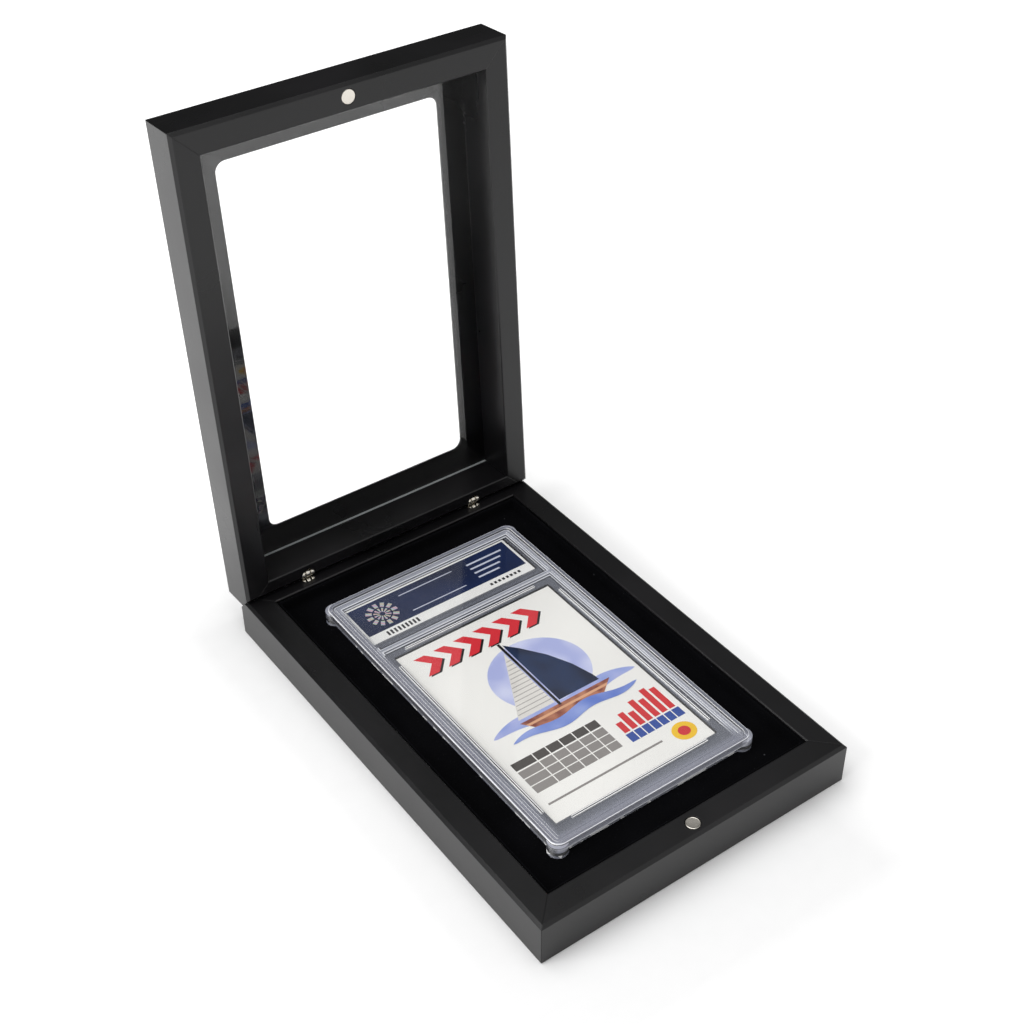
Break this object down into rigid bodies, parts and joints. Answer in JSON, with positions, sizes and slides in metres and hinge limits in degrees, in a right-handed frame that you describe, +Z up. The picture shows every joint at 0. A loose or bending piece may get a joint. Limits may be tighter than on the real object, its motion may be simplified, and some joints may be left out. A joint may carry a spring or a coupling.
{
  "type": "trading card display case",
  "caption": "Hinged lacquered display box with a windowed lid, a velvet-lined tray and a clear sealed card holder.",
  "frame": {"origin": "centre of the base's underside", "axes": "+X to the right as seen from the front, +Y to the hinges, +Z up"},
  "size_m": [0.1194, 0.1943, 0.1881],
  "materials": {
    "black_lacquer": "satin black lacquer over wood board",
    "grey_board": "plain grey board",
    "black_velvet": "short-pile black velvet",
    "nickel": "bright nickel plate",
    "nickel_brass": "polished nickel-plated brass",
    "steel_pin": "bright steel",
    "clear_acrylic": "clear polished acrylic sheet",
    "clear_plastic": "clear moulded plastic",
    "label_paper": "printed satin paper",
    "card_paper": "printed gloss card"
  },
  "bodies": {
    "base": {"base_rail_left": "black_lacquer", "base_rail_right": "black_lacquer", "base_rail_front": "black_lacquer", "base_rail_back": "black_lacquer", "base_board": "black_lacquer", "tray_core": "grey_board", "velvet_liner": "black_velvet", "base_magnet": "nickel", "base_barrel_left": "nickel_brass", "base_barrel_right": "nickel_brass", "base_hinge_pins": "steel_pin"},
    "links": {"link_plates_left": "nickel_brass", "link_plates_right": "nickel_brass"},
    "lid": {"lid_rail_left": "black_lacquer", "lid_rail_right": "black_lacquer", "lid_rail_free_end": "black_lacquer", "lid_rail_hinge_end": "black_lacquer", "window_panel": "black_lacquer", "window_pane": "clear_acrylic", "lid_magnet": "nickel", "lid_barrel_left": "nickel_brass", "lid_barrel_right": "nickel_brass", "lid_hinge_pins": "steel_pin"},
    "holder": {"holder_lower_shell": "clear_plastic", "holder_upper_shell": "clear_plastic", "holder_inner_frame": "clear_plastic", "holder_label": "label_paper", "trading_card": "card_paper"}
  },
  "joints": [
    {"name": "link_turn", "type": "hinge", "parent": "base", "child": "links", "pos_m": [0, 0.083, 0.01425], "axis": [-1, 0, 0], "range_deg": [-9.5, 0]},
    {"name": "lid_turn", "type": "hinge", "parent": "links", "child": "lid", "pos_m": [0, 0.0836, 0.01785], "axis": [-1, 0, 0], "range_deg": [-83.8, 0]},
    {"name": "holder_lift", "type": "slide", "parent": "base", "child": "holder", "axis": [0, 0, 1], "range_m": [0, 0.01]}
  ]
}
